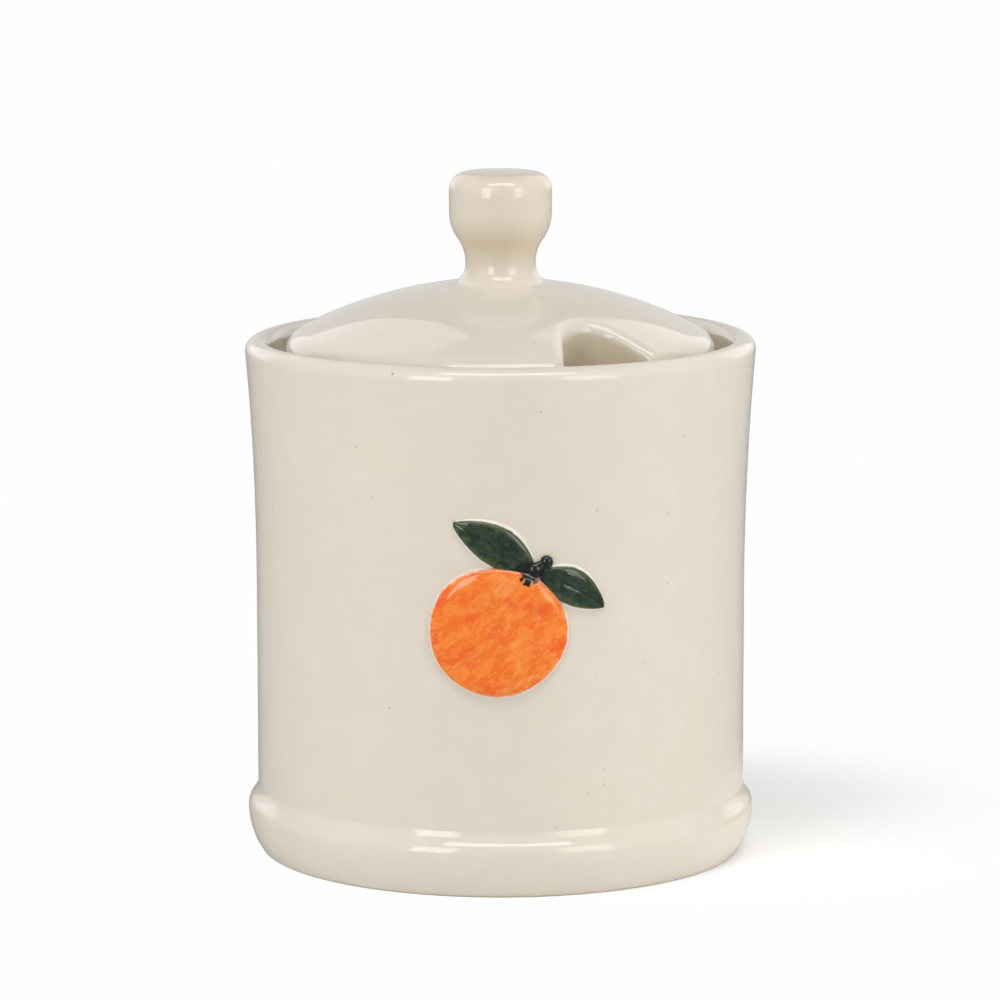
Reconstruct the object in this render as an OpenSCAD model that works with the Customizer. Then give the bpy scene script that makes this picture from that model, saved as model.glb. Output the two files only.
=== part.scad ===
// Lidded jam pot in glazed ceramic, with a spoon notch in the lid and a fruit in relief on the front.
// The pot stands on z = 0 with its round axis on Z, and its front faces -Y.

/* [Pot] */
// Outside radius of the rim at its widest
rim_r = 43; // [38:0.5:52]
// Height of the rim above the table
rim_h = 87.5; // [75:0.5:105]
// How far the rim flares out past the straight lower wall
flare_out = 1.7; // [1:0.1:3]
// Thickness of the wall, which ends in a fully rounded lip
wall_t = 4.2; // [3.6:0.1:4.6]
// Height at which the wall begins to flare to the rim
flare_z = 45; // [35:1:55]
// Thickness of the floor
floor_t = 4.6; // [3:0.1:6]
// Radius of the cove where the floor meets the wall
floor_cove = 3; // [2:0.1:8]

/* [Foot] */
// How far the foot band stands out from the wall at its belly
foot_out = 1.65; // [1.5:0.05:3]
// Height of the belly of the foot band
belly_z = 7.5; // [6:0.1:9]
// Radius of the roll over the shoulder of the foot band
shoulder_roll = 2.6; // [1.5:0.1:2.8]
// Radius of the hollow from that shoulder in to the wall
foot_hollow = 6; // [4:0.1:8]
// Angle of the faint crease where the hollow ends on the wall
crease_turn = 8; // [5:1:15]
// How far the foot band draws in from its belly to the table
stand_in = 2.45; // [1.5:0.05:2.6]
// Width of the ring that the pot stands on
stand_w = 3.1; // [2:0.1:5]
// Depth of the recess under the floor
recess_h = 1.8; // [1.5:0.1:3]

/* [Lid seat] */
// Height of the lid seat below the top of the rim
seat_drop = 5.2; // [3:0.1:6]
// How far the gallery that carries the lid stands in from the wall
gallery_reach = 3.5; // [2.5:0.1:6]
// Depth of the gallery where it joins the wall
gallery_h = 7; // [5:0.1:10]
// Radius of the rounded nose of the gallery
gallery_nose = 1.1; // [0.5:0.1:1.8]

/* [Lid] */
// Gap between the lid's edge and the inside of the lip
lid_gap = 2.4; // [1.8:0.1:3]
// Rise of the dome above the seat
dome_rise = 14.5; // [12:0.1:18]
// Radius of the rounded edge of the lid
edge_round = 5; // [3.6:0.1:6]
// Height of the lid's widest line above the seat
edge_up = 1.8; // [1:0.1:3]
// Thickness of the dome
dome_t = 3.7; // [3:0.1:4.5]
// Width of the locating ring under the lid
ring_w = 3.2; // [2:0.1:4]
// Depth of the locating ring below the seat
ring_h = 5.4; // [4:0.1:7]
// Clearance of the locating ring inside the gallery
ring_clear = 0.7; // [0.4:0.1:1.5]

/* [Spoon notch] */
// Direction of the notch, turned from the front towards +X
notch_turn = 31; // [0:0.5:60]
// Depth of the notch from the lid's edge to its round inner end
notch_depth = 11.2; // [10:0.1:14]
// Radius of the notch's round inner end
notch_round = 5.6; // [4:0.1:6]
// Half of the angle at which the notch's sides open
notch_flare = 30.5; // [20:0.5:34]
// Radius of the corners at the notch's mouth
mouth_round = 1.8; // [1:0.1:2.2]

/* [Knob] */
// Radius of the knob's head
knob_r = 8.65; // [8:0.05:10]
// Height of the knob above its waist
knob_h = 15.5; // [14:0.1:18]
// Radius of the knob's neck
neck_r = 5.9; // [5:0.1:6.4]
// Height of the waist above the top of the dome
waist_up = 3; // [2.9:0.1:6]
// Radius of the hollow curve from the waist up into the head
neck_curve = 6.8; // [6:0.1:8]
// Radius of the fillet from the neck down into the dome
neck_fillet = 3.2; // [2.5:0.1:3.3]
// Height from the waist to the belly of the head
head_belly = 8.5; // [8:0.1:9.5]
// Radius of the roll around the top of the head
head_roll = 3; // [1.5:0.1:3.4]
// Rise of the slightly domed top over that roll
head_crown = 0.25; // [0.15:0.05:0.8]

/* [Fruit relief] */
// Height of the middle of the fruit
fruit_z = 44.6; // [40:0.1:50]
// Distance of the fruit's middle to the right of the front line
fruit_x = -0.4; // [-5:0.1:5]
// Half of the fruit's width
fruit_a = 11.2; // [8:0.1:13]
// Half of the fruit's height
fruit_b = 10.4; // [8:0.1:12]
// Thickness of the fruit at its middle
fruit_t = 1.6; // [0.8:0.05:1.65]
// Thickness of every relief at its edge
relief_edge = 0.35; // [0.2:0.05:0.5]
// Thickness of the slip that holds each relief on the wall
slip_t = 0.015; // [0.01:0.005:0.05]

/* [Leaf relief] */
// Length of the long leaf
long_leaf_l = 15; // [10:0.1:18]
// Width of the long leaf
long_leaf_w = 6.2; // [3:0.1:7]
// Direction of the long leaf, turned up from +X
long_leaf_turn = 148; // [130:1:160]
// Length of the short leaf
short_leaf_l = 11.2; // [8:0.1:14]
// Width of the short leaf
short_leaf_w = 5.6; // [3:0.1:6.5]
// Direction of the short leaf, turned up from +X
short_leaf_turn = -31; // [-50:1:-20]
// Thickness of a leaf beside its midrib
leaf_t = 1.05; // [0.6:0.05:1.1]
// Depth of the groove along a leaf's midrib
leaf_groove = 0.35; // [0.1:0.05:0.5]
// Bow of a leaf's midrib to one side
leaf_bow = 0.5; // [0:0.1:1.5]
// Radius of the stem nub
nub_r = 1.15; // [0.8:0.05:1.3]
// Distance of the stem nub to the right of the fruit's middle
nub_x = 6.9; // [6:0.1:8]
// Height of the stem nub's foot above the fruit's edge
nub_up = 1.5; // [1.4:0.1:2.5]
// Length of the stem nub between the centres of its ends
nub_l = 1.9; // [1:0.1:3]
// Lean of the stem nub to the right
nub_lean = 12; // [0:1:20]

/* [Hidden] */

// Turn of one step round a curve, and its least length
$fa = 2;
$fs = 0.5;

glaze = "#dfd6c6";
fruit_orange = "#f07f35";
leaf_green = "#35493f";

// Reach of a cutting shape past what it cuts
past = 5;
// Depth by which two curves that run into each other cross, so that they meet in one clean line
crossing = 0.01;
wall_r = rim_r - flare_out;
wall_in = wall_r - wall_t;
lip = wall_t / 2;
lip_c = [rim_r - lip, rim_h - lip];
// Radius of the flare, which runs smoothly into the straight wall and into the lip
flare_run = lip_c[1] - flare_z;
flare_step = lip_c[0] - wall_r;
flare_r = (flare_step ^ 2 + flare_run ^ 2 - lip ^ 2) / (2 * (rim_r - wall_r));
flare_c = [wall_r + flare_r, flare_z];
flare_turn = asin(flare_run / (flare_r + lip));

floor_top = recess_h + floor_t;
seat_z = rim_h - seat_drop;

foot_r = wall_r + foot_out;
stand_r = foot_r - stand_in;
belly_r = (stand_in ^ 2 + belly_z ^ 2) / (2 * stand_in);
shoulder_c = [foot_r - shoulder_roll, belly_z];
// Centre of the foot's hollow, which runs nearly smoothly out of the shoulder
hollow_x = wall_r + foot_hollow * cos(crease_turn);
hollow_gap = shoulder_roll + foot_hollow - crossing;
hollow_up = sqrt(hollow_gap ^ 2 - (hollow_x - shoulder_c[0]) ^ 2);
hollow_c = [hollow_x, belly_z + hollow_up];

gallery_r = wall_in - gallery_reach;
ring_r = gallery_r - ring_clear;
lid_r = rim_r - wall_t - lid_gap;
apex_z = seat_z + dome_rise;
edge_c = [lid_r - edge_round, seat_z + edge_up];
// Radius of the sphere that shapes the dome, which runs nearly smoothly into the rounded edge
dome_run = apex_z - edge_c[1];
edge_reach = edge_round - crossing;
dome_sphere = (edge_c[0] ^ 2 + dome_run ^ 2 - edge_reach ^ 2) / (2 * (dome_run - edge_reach));
dome_c = [0, apex_z - dome_sphere];
edge_dir = (edge_c - dome_c) / norm(edge_c - dome_c);

waist_z = apex_z + waist_up;
fillet_c = [neck_r + neck_fillet,
    dome_c[1] + sqrt((dome_sphere + neck_fillet) ^ 2 - (neck_r + neck_fillet) ^ 2)];
fillet_dir = (fillet_c - dome_c) / norm(fillet_c - dome_c);
neck_c = [neck_r + neck_curve, waist_z];
belly_up = waist_z + head_belly;
// Radius of the belly under the head, which runs smoothly out of the neck's curve
head_gap = neck_c[0] - knob_r;
head_belly_r = (head_gap ^ 2 + head_belly ^ 2 - neck_curve ^ 2) / (2 * (neck_curve - head_gap));
head_c = [knob_r - head_belly_r, belly_up];
head_meet = neck_c + neck_curve * (head_c - neck_c) / norm(head_c - neck_c);
top_z = waist_z + knob_h;
roll_c = [knob_r - head_roll, top_z - head_crown - head_roll];
crown_r = (roll_c[0] ^ 2 + (top_z - roll_c[1]) ^ 2 - head_roll ^ 2) / (2 * head_crown);

// Share of a mouth corner's radius that lies inside the lid's edge
mouth_share = 0.7;
notch_c = [lid_r - notch_depth + notch_round, 0];
notch_along = [cos(notch_flare), sin(notch_flare)];
notch_away = [-sin(notch_flare), cos(notch_flare)];
notch_side = notch_c + notch_round * notch_away;
corner_from = notch_side + mouth_round * notch_away;
corner_dot = corner_from * notch_along;
corner_reach = lid_r - mouth_share * mouth_round;
corner_run = sqrt(corner_dot ^ 2 + corner_reach ^ 2 - corner_from * corner_from) - corner_dot;
corner_c = corner_from + corner_run * notch_along;

// Place of the stem nub's foot beside the middle line of the front
nub_at = [fruit_x + nub_x, fruit_z + fruit_b * sqrt(1 - (nub_x / fruit_a) ^ 2) + nub_up];

// Number of sides drawn on large circles, and of steps along the flare, the notch's end and its corners
large_sides = 256;
flare_steps = 16;
notch_steps = 12;
corner_steps = 8;
// Steps of the grids that shape the reliefs
fruit_steps = 24;
leaf_steps = 22;
leaf_across = 8;
// Width left at the two ends of a leaf, as a share of its full width
leaf_tip_share = 0.04;
// Power that moves the widest place of a leaf: under 1 toward its base
leaf_widest = 0.9;
// Power that fills out a leaf's outline: lower is fuller
leaf_fullness = 0.75;
// Power that keeps a leaf thick from its midrib out to its edges: higher is flatter
leaf_flatness = 4;
// Width of the midrib's groove, as a share of the leaf's half width
groove_share = 0.16;
// Gap between the stem nub's foot and each leaf
nub_gap = 0.1;
// Share of the fruit's size by which the leaves clear it
fruit_margin = 0.012;
// Power that keeps the fruit thick toward its edge: higher is flatter with a tighter roll
fruit_flatness = 5;

// Point where a line from p touches a circle at c with radius r; side is 1 or -1
function touch(p, c, r, side) =
    let (d = p - c, turn = atan2(d[1], d[0]) + side * acos(r / norm(d)))
    c + r * [cos(turn), sin(turn)];

// Outside radius of the wall at height z
function wall_at(z) =
    z < flare_z ? wall_r : flare_c[0] - sqrt(flare_r ^ 2 - (z - flare_z) ^ 2);

// Line up the flare, out from the inside of the wall or in from its outside by off
function flare_line(off) =
    [for (k = [0 : flare_steps]) let (turn = flare_turn * k / flare_steps)
        flare_c + (flare_r + off) * [-cos(turn), sin(turn)]];

// Point over the wall: x along the wall from the front line, z its height, out its distance from the wall
function on_wall(x, z, out) =
    let (turn = x / wall_r * 180 / PI, r = wall_at(z) + out)
    [r * sin(turn), -r * cos(turn), z];

// Closed skin between a front and a back grid of points with the same rows and columns
module grid_solid(front, back) {
    rows = len(front);
    cols = len(front[0]);
    count = rows * cols;
    points = concat([for (row = front) each row], [for (row = back) each row]);
    function id(side, i, j) = side * count + i * cols + j;
    faces = concat(
        [for (i = [0 : rows - 2], j = [0 : cols - 2]) each [
            [id(0, i, j), id(0, i + 1, j), id(0, i + 1, j + 1)],
            [id(0, i, j), id(0, i + 1, j + 1), id(0, i, j + 1)],
            [id(1, i, j), id(1, i + 1, j + 1), id(1, i + 1, j)],
            [id(1, i, j), id(1, i, j + 1), id(1, i + 1, j + 1)]]],
        [for (i = [0 : rows - 2]) each [
            [id(0, i, 0), id(1, i, 0), id(1, i + 1, 0), id(0, i + 1, 0)],
            [id(0, i, cols - 1), id(0, i + 1, cols - 1), id(1, i + 1, cols - 1), id(1, i, cols - 1)]]],
        [for (j = [0 : cols - 2]) each [
            [id(0, 0, j), id(0, 0, j + 1), id(1, 0, j + 1), id(1, 0, j)],
            [id(0, rows - 1, j), id(1, rows - 1, j), id(1, rows - 1, j + 1), id(0, rows - 1, j + 1)]]]);
    polyhedron(points = points, faces = faces, convexity = 4);
}

// Section of the wall, straight below and flaring smoothly into the lip
module wall_section() {
    inside = flare_line(wall_t);
    polygon(concat([[wall_in, recess_h], [wall_r, recess_h]], flare_line(0),
        [for (k = [flare_steps : -1 : 0]) inside[k]]));
    translate(lip_c) circle(lip);
}

module pot_wall() {
    color(glaze) rotate_extrude() wall_section();
}

// Floor with a cove up the inside of the wall
module pot_floor() {
    color(glaze) rotate_extrude() {
        translate([0, recess_h]) square([wall_in, floor_t]);
        difference() {
            translate([wall_in - floor_cove, floor_top]) square(floor_cove);
            translate([wall_in - floor_cove, floor_top + floor_cove]) circle(floor_cove);
        }
    }
}

// Proud band around the foot, and the ring that the pot stands on
module foot_band() {
    color(glaze) rotate_extrude() {
        difference() {
            union() {
                intersection() {
                    translate([foot_r - belly_r, belly_z]) circle(belly_r);
                    translate([stand_r - stand_w, 0]) square([foot_r, belly_z]);
                }
                intersection() {
                    translate(shoulder_c) circle(shoulder_roll);
                    translate([wall_in, belly_z]) square([foot_r, shoulder_roll]);
                }
                difference() {
                    polygon([[wall_in, belly_z], shoulder_c, hollow_c, [wall_in, hollow_c[1]]]);
                    translate(hollow_c) circle(foot_hollow);
                }
            }
            translate([0, recess_h]) square([wall_r, hollow_c[1]]);
        }
    }
}

// Ledge inside the rim that the lid rests on
module lid_gallery() {
    nose_c = [gallery_r + gallery_nose, seat_z - gallery_nose];
    root = [wall_in + lip, seat_z - gallery_h];
    under = touch(root, nose_c, gallery_nose, -1);
    color(glaze) rotate_extrude() {
        difference() {
            union() {
                translate(nose_c) circle(gallery_nose);
                polygon([[nose_c[0], seat_z], nose_c, under, root, [root[0], seat_z]]);
            }
            wall_section();
        }
    }
}

// Round fruit: a square grid drawn into a disc, thick all over and rolled down at its edge
module fruit_relief() {
    function reach(k) = 2 * k / fruit_steps - 1;
    function place(i, j) =
        let (u = reach(i), v = reach(j))
        [u * sqrt(1 - v ^ 2 / 2), v * sqrt(1 - u ^ 2 / 2)];
    function depth(p) = relief_edge + (fruit_t - relief_edge) * sqrt(1 - norm(p) ^ fruit_flatness);
    function spot(p, out) = on_wall(fruit_x + fruit_a * p[0], fruit_z + fruit_b * p[1], out);
    steps = [0 : fruit_steps];
    front = [for (i = steps) [for (j = steps) let (p = place(i, j)) spot(p, slip_t + depth(p))]];
    back = [for (i = steps) [for (j = steps) spot(place(i, j), slip_t)]];
    color(fruit_orange) grid_solid(front, back);
}

// Place beside the fruit, moved straight out from the fruit's middle where it would lie on the fruit
function off_fruit(p) =
    let (q = [(p[0] - fruit_x) / fruit_a, (p[1] - fruit_z) / fruit_b],
        grow = max(1, (1 + fruit_margin) / norm(q)))
    [fruit_x, fruit_z] + grow * (p - [fruit_x, fruit_z]);

// Leaf that starts at base and points along turn, with a grooved midrib that bows to one side
module leaf(base, turn, length, width, bow) {
    function half(t) = width / 2 * max(leaf_tip_share, sin(180 * t ^ leaf_widest) ^ leaf_fullness);
    function spot(t, s, out) =
        let (along = length * t, off = bow * sin(180 * t) + half(t) * s,
            p = off_fruit(base + along * [cos(turn), sin(turn)] + off * [-sin(turn), cos(turn)]))
        on_wall(p[0], p[1], out);
    function depth(t, s) =
        relief_edge + (leaf_t - relief_edge) * sqrt((1 - s ^ leaf_flatness) * sin(180 * t))
        - leaf_groove * sin(180 * t) * exp(-(s / groove_share) ^ 2);
    steps = [0 : leaf_steps];
    across = [for (j = [0 : leaf_across]) 2 * j / leaf_across - 1];
    front = [for (i = steps) let (t = i / leaf_steps) [for (s = across) spot(t, s, slip_t + depth(t, s))]];
    back = [for (i = steps) let (t = i / leaf_steps) [for (s = across) spot(t, s, slip_t)]];
    color(leaf_green) grid_solid(front, back);
}

module long_leaf() {
    leaf(nub_at - [nub_r + nub_gap, 0], long_leaf_turn, long_leaf_l, long_leaf_w, -leaf_bow);
}

module short_leaf() {
    leaf(nub_at + [nub_r + nub_gap, 0], short_leaf_turn, short_leaf_l, short_leaf_w, leaf_bow);
}

// Stub of stem lying against the wall, round at both ends
module stem_nub() {
    color(leaf_green) difference() {
        translate(on_wall(nub_at[0], nub_at[1], 0)) rotate([0, nub_lean, 0]) rotate_extrude()
            intersection() {
                union() {
                    circle(nub_r);
                    translate([0, nub_l]) circle(nub_r);
                    translate([-nub_r, 0]) square([2 * nub_r, nub_l]);
                }
                translate([0, -nub_r]) square([nub_r, nub_l + 2 * nub_r]);
            }
        rotate_extrude($fn = large_sides) polygon(concat([[0, flare_z]], flare_line(0), [[0, lip_c[1]]]));
    }
}

// Points on an arc round c from one turn to another
function arc(c, r, from, to, steps) =
    [for (k = [0 : steps]) let (turn = from + (to - from) * k / steps) c + r * [cos(turn), sin(turn)]];

// Outline of the spoon notch, seen from above and opening along +X: round end, flared sides, round corners
module notch_outline() {
    side = concat(arc(notch_c, notch_round, 180, 90 + notch_flare, notch_steps),
        arc(corner_c, mouth_round, notch_flare - 90, atan2(corner_c[1], corner_c[0]), corner_steps),
        [corner_c * (lid_r + past) / lid_r]);
    polygon(concat(side, [for (k = [len(side) - 1 : -1 : 1]) [side[k][0], -side[k][1]]]));
}

// What it is given, less the spoon notch
module notched() {
    difference() {
        children();
        rotate(notch_turn - 90) translate([0, 0, seat_z - ring_h - past])
            linear_extrude(ring_h + dome_rise + 2 * past) notch_outline();
    }
}

// Dome with its rounded edge, and the start of the knob's neck
module lid_dome() {
    heart = apex_z - dome_t / 2;
    color(glaze) notched() rotate_extrude() {
        difference() {
            intersection() {
                union() {
                    intersection() {
                        translate(dome_c) circle(dome_sphere, $fn = large_sides);
                        polygon([dome_c, dome_c + (dome_sphere + past) * edge_dir, [0, apex_z + past]]);
                    }
                    translate(edge_c) circle(edge_round);
                    polygon([[0, seat_z], [edge_c[0], seat_z], edge_c, [0, edge_c[1]]]);
                }
                translate([0, seat_z]) square([lid_r + past, dome_rise + past]);
            }
            intersection() {
                translate(dome_c) circle(dome_sphere - dome_t, $fn = large_sides);
                translate([0, seat_z - past]) square([ring_r - ring_w, dome_rise + past]);
            }
        }
        difference() {
            polygon([[0, heart], dome_c + (heart - dome_c[1]) * fillet_dir, fillet_c,
                [neck_r, fillet_c[1]], [neck_r, waist_z], [0, waist_z]]);
            translate(fillet_c) circle(neck_fillet);
        }
    }
}

// Ring under the lid that drops inside the gallery, with a rounded lower edge
module locating_ring() {
    round_r = ring_w / 2;
    color(glaze) notched() rotate_extrude() {
        translate([ring_r - ring_w, seat_z - ring_h + round_r]) square([ring_w, ring_h - round_r]);
        translate([ring_r - round_r, seat_z - ring_h + round_r]) circle(round_r);
    }
}

// Neck above the waist and the flared head with its rolled, slightly domed top
module lid_knob() {
    crown_c = [0, top_z - crown_r];
    crown_dir = (roll_c - crown_c) / norm(roll_c - crown_c);
    neck_mid = (waist_z + head_meet[1]) / 2;
    color(glaze) rotate_extrude() {
        difference() {
            polygon([[0, waist_z], [neck_r, waist_z], neck_c, head_meet, [0, head_meet[1]]]);
            translate(neck_c) circle(neck_curve);
        }
        intersection() {
            translate(head_c) circle(head_belly_r);
            translate([0, neck_mid]) square([knob_r, belly_up - neck_mid]);
        }
        translate([0, belly_up]) square([knob_r, roll_c[1] - belly_up]);
        translate(roll_c) circle(head_roll);
        intersection() {
            translate(crown_c) circle(crown_r, $fn = large_sides);
            polygon([[0, belly_up], roll_c, roll_c + (head_roll + past) * crown_dir, [0, top_z + past]]);
        }
    }
}

pot_wall();
pot_floor();
foot_band();
lid_gallery();
fruit_relief();
long_leaf();
short_leaf();
stem_nub();
lid_dome();
locating_ring();
lid_knob();
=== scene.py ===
# Lidded jam pot in glazed ceramic: the looks of its pieces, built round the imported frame.
# Sizes are in millimetres until a piece is finished, and every finished mesh is in metres.

import math

import bmesh
import bpy
from mathutils import Matrix, Vector, noise


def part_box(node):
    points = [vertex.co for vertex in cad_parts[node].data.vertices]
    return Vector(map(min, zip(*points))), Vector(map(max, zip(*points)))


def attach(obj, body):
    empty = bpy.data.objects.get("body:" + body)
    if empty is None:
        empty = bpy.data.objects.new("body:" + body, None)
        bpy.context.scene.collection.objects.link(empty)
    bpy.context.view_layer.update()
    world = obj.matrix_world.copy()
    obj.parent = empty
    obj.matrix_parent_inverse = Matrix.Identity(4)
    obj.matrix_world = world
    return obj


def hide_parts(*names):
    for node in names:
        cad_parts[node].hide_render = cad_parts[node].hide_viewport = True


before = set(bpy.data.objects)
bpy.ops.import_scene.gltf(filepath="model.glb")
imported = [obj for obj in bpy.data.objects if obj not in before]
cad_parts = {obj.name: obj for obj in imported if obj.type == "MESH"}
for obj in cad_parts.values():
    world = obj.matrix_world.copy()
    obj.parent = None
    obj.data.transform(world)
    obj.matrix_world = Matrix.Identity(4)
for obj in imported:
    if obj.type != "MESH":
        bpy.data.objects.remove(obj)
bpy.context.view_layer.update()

MM = 0.001


def top_of(node):
    """Highest x, y and z of a CAD node, in millimetres."""
    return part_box(node)[1] / MM


# Sizes that the frame gives
rim_r, rim_h = top_of("pot_wall").x, top_of("pot_wall").z
foot_r = top_of("foot_band").x
wall_in = top_of("pot_floor").x
recess_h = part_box("pot_floor")[0].z / MM
seat_z = top_of("lid_gallery").z
lid_r = -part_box("lid_dome")[0].x / MM
ring_r = -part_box("locating_ring")[0].x / MM
ring_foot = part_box("locating_ring")[0].z / MM
waist_z = top_of("lid_dome").z
knob_r, top_z = top_of("lid_knob").x, top_of("lid_knob").z

# Sizes of the pot that the frame doesn't give
wall_t = 4.2
wall_r = wall_in + wall_t
lip = wall_t / 2
flare_z = 45
floor_t = 4.6
floor_cove = 3

# Foot band, and the ring that the pot stands on
belly_z = 7.5
shoulder_roll = 2.6
foot_hollow = 6
crease_turn = 17
crease_round = 0.5
crease_lead = 1
stand_in = 2.45
stand_w = 3.1
stand_round_in = 0.6
stand_round_out = 0.9
recess_round = 0.8

# Gallery that carries the lid
gallery_w = 3.5
gallery_h = 7
gallery_nose = 1.1
gallery_fillet = 0.7
gallery_fillet_room = 0.9
gallery_tuck = 0.1
gallery_seat_run = 0.6
gallery_cove = 1.6
gallery_cove_room = 0.5

# Unevenness of the pot, made by hand
pot_give = 0.12
pot_swell = 30
low_rim_turn = 155
low_rim = 0.4
low_rim_from, low_rim_full = 60, 84

# Sizes of the lid that the frame doesn't give
lid_rise = 14.5
apex_z = seat_z + lid_rise
even_r = 18
edge_round = 5
edge_up = 1.8
dome_t = 3.7
ring_w = 3.2
seat_round = 0.5
hollow_round = 1.4
lid_give = 0.08
lid_swell = 18

# Knob
neck_r = 5.9
neck_curve = 6.8
neck_fillet = 3.2
head_belly = 8.5
head_roll = 3
head_crown = 0.25

# Spoon notch
notch_turn = 31
notch_depth = 11.2
notch_end = 5.6
notch_flare = math.radians(30.5)
notch_lip = 1.7
mouth_round = 1.8
mouth_plain_share = 0.2
edge_grows_over = math.radians(9)

# Reliefs
relief_edge = 0.3
relief_sink = 0.08
relief_sheet = 0.4
fruit_x, fruit_z = -0.4, 44.6
fruit_a, fruit_b, fruit_t = 11.2, 10.4, 1.6
fruit_body_share, fruit_foot_share = 0.9, 0.035
fruit_fullness = 9
fruit_wobble = 0.008
fruit_dent = 0.22
fruit_dent_fade = 8
fruit_dents_across = 3.5
leaf_t = 1.05
leaf_fullness = 4
leaf_lean = 0.9
leaf_bluntness = 0.75
leaf_groove = 0.12
leaf_groove_share = 0.25
leaf_body_share, leaf_foot_share = 0.84, 0.16
leaf_foot_w = 0.12
leaf_reach_share = 0.52
leaf_point_share = 0.05
leaf_point_rise = 40
leaf_point_sink = 0.1
leaf_point_bare = 12
knot_x, knot_z, knot_r = 5.5, 54.5, 1.35
knot_flat = 0.8
nub_r, nub_l, nub_lean = 1.08, 2.4, 55
nub_neck_share = 0.85
nub_neck_up = 0.15


# Drawing of sections

def shares(steps):
    """Even shares of a way, from its first step to 1."""
    return [k / steps for k in range(1, steps + 1)]


def arc(centre, radius, start, end, steps):
    """Points on an arc, with its turns in degrees from +r towards +z."""
    turns = [math.radians(start + (end - start) * share) for share in [0] + shares(steps)]
    return [(centre[0] + radius * math.cos(a), centre[1] + radius * math.sin(a)) for a in turns]


def straight(start, end, steps):
    """Points on a straight line, without its two ends."""
    return [tuple(s + (e - s) * share for s, e in zip(start, end)) for share in shares(steps)[:-1]]


def rounded(corners, steps=5):
    """Points on a line through corners (r, z, radius), each corner rounded by its radius."""
    line = []
    for k, (r, z, radius) in enumerate(corners):
        here = Vector((r, z))
        if radius == 0:
            line.append(tuple(here))
            continue
        back = (Vector(corners[k - 1][:2]) - here).normalized()
        on = (Vector(corners[k + 1][:2]) - here).normalized()
        half = back.angle(on) / 2
        middle = here + (back + on).normalized() * radius / math.sin(half)
        first = here + back * radius / math.tan(half) - middle
        last = here + on * radius / math.tan(half) - middle
        sweep = first.angle_signed(last)
        for share in [0] + shares(steps):
            line.append(tuple(middle + Matrix.Rotation(-sweep * share, 2) @ first))
    return line


def turn_of(centre, point):
    """Turn in degrees of a point seen from a centre."""
    return math.degrees(math.atan2(point[1] - centre[1], point[0] - centre[0]))


def ray_at(turn):
    """Direction of length 1 at a turn in radians."""
    return Vector((math.cos(turn), math.sin(turn)))


def ease(low, high, value):
    """0 below low, 1 above high, and smooth between them."""
    share = min(max((value - low) / (high - low), 0), 1)
    return share * share * (3 - 2 * share)


# Shape of the pot

lip_c = (rim_r - lip, rim_h - lip)
flare_rise = lip_c[1] - flare_z
flare_step = lip_c[0] - wall_r
flare_r = (flare_step ** 2 + flare_rise ** 2 - lip ** 2) / (2 * (rim_r - wall_r))
flare_turn = math.degrees(math.asin(flare_rise / (flare_r + lip)))
flare_c = (wall_r + flare_r, flare_z)
gallery_r = wall_in - gallery_w


def wall_at(z):
    """Outside radius of the wall at height z."""
    if z < flare_z:
        return wall_r
    return flare_c[0] - math.sqrt(flare_r ** 2 - (z - flare_z) ** 2)


def foot_line():
    """Section of the foot, from the middle of the underside round the foot band to the crease above it."""
    stand_r = foot_r - stand_in
    recess_r = stand_r - stand_w
    belly_r = (stand_in ** 2 + belly_z ** 2) / (2 * stand_in)
    belly_c = (foot_r - belly_r, belly_z)
    shoulder_c = (foot_r - shoulder_roll, belly_z)
    hollow_r = wall_r + foot_hollow * math.cos(math.radians(crease_turn))
    hollow_rise = math.sqrt((shoulder_roll + foot_hollow) ** 2 - (hollow_r - shoulder_c[0]) ** 2)
    hollow_c = (hollow_r, belly_z + hollow_rise)
    meet = turn_of(shoulder_c, hollow_c)
    belly = arc(belly_c, belly_r, turn_of(belly_c, (stand_r, 0)), 0, steps=12)
    hollow = arc(hollow_c, foot_hollow, 180 + meet, 180 + crease_turn, steps=8)
    line = rounded([(0, recess_h, 0), (recess_r, recess_h, recess_round), (recess_r, 0, stand_round_in),
                    (stand_r, 0, stand_round_out), (*belly[3], 0)])
    line += belly[4:]
    line += arc(shoulder_c, shoulder_roll, 0, meet, steps=6)[1:]
    line += hollow[1:-1]
    crease = hollow[-1]
    line += rounded([(*hollow[-2], 0), (*crease, crease_round), (wall_r, crease[1] + crease_lead, 0)])[1:]
    return line


def gallery_line():
    """Section of the flared inside, down over the gallery to where the straight wall begins."""
    inside = arc(flare_c, flare_r + wall_t, 180 - flare_turn, 180, steps=60)
    above = [p for p in inside if p[1] > seat_z + gallery_fillet_room]
    below = [p for p in inside if p[1] < seat_z - gallery_h + gallery_cove_room]
    nose_c = (gallery_r + gallery_nose, seat_z - gallery_nose)
    line = above[1:]
    line += rounded([(*above[-1], 0), (above[-1][0] - gallery_tuck, seat_z, gallery_fillet),
                     (nose_c[0] + gallery_seat_run, seat_z, 0)])[1:]
    line += arc(nose_c, gallery_nose, 90, 250, steps=10)
    line += rounded([(*line[-1], 0), (*below[0], gallery_cove), (*below[3], 0)])[1:]
    return line + below[4:]


def pot_section():
    """Section of the pot, from the middle of its underside over the rim to the middle of its floor."""
    line = foot_line()
    line += straight(line[-1], (wall_r, flare_z), steps=16)
    line += arc(flare_c, flare_r, 180, 180 - flare_turn, steps=24)
    line += arc(lip_c, lip, -flare_turn, 180 - flare_turn, steps=20)[1:]
    line += gallery_line()
    cove_c = (wall_in - floor_cove, recess_h + floor_t + floor_cove)
    line += straight((wall_in, flare_z), (wall_in, cove_c[1]), steps=12)
    line += arc(cove_c, floor_cove, 0, -90, steps=8)
    middle = (0, recess_h + floor_t)
    line += straight(line[-1], middle, steps=10)
    return line + [middle]


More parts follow.
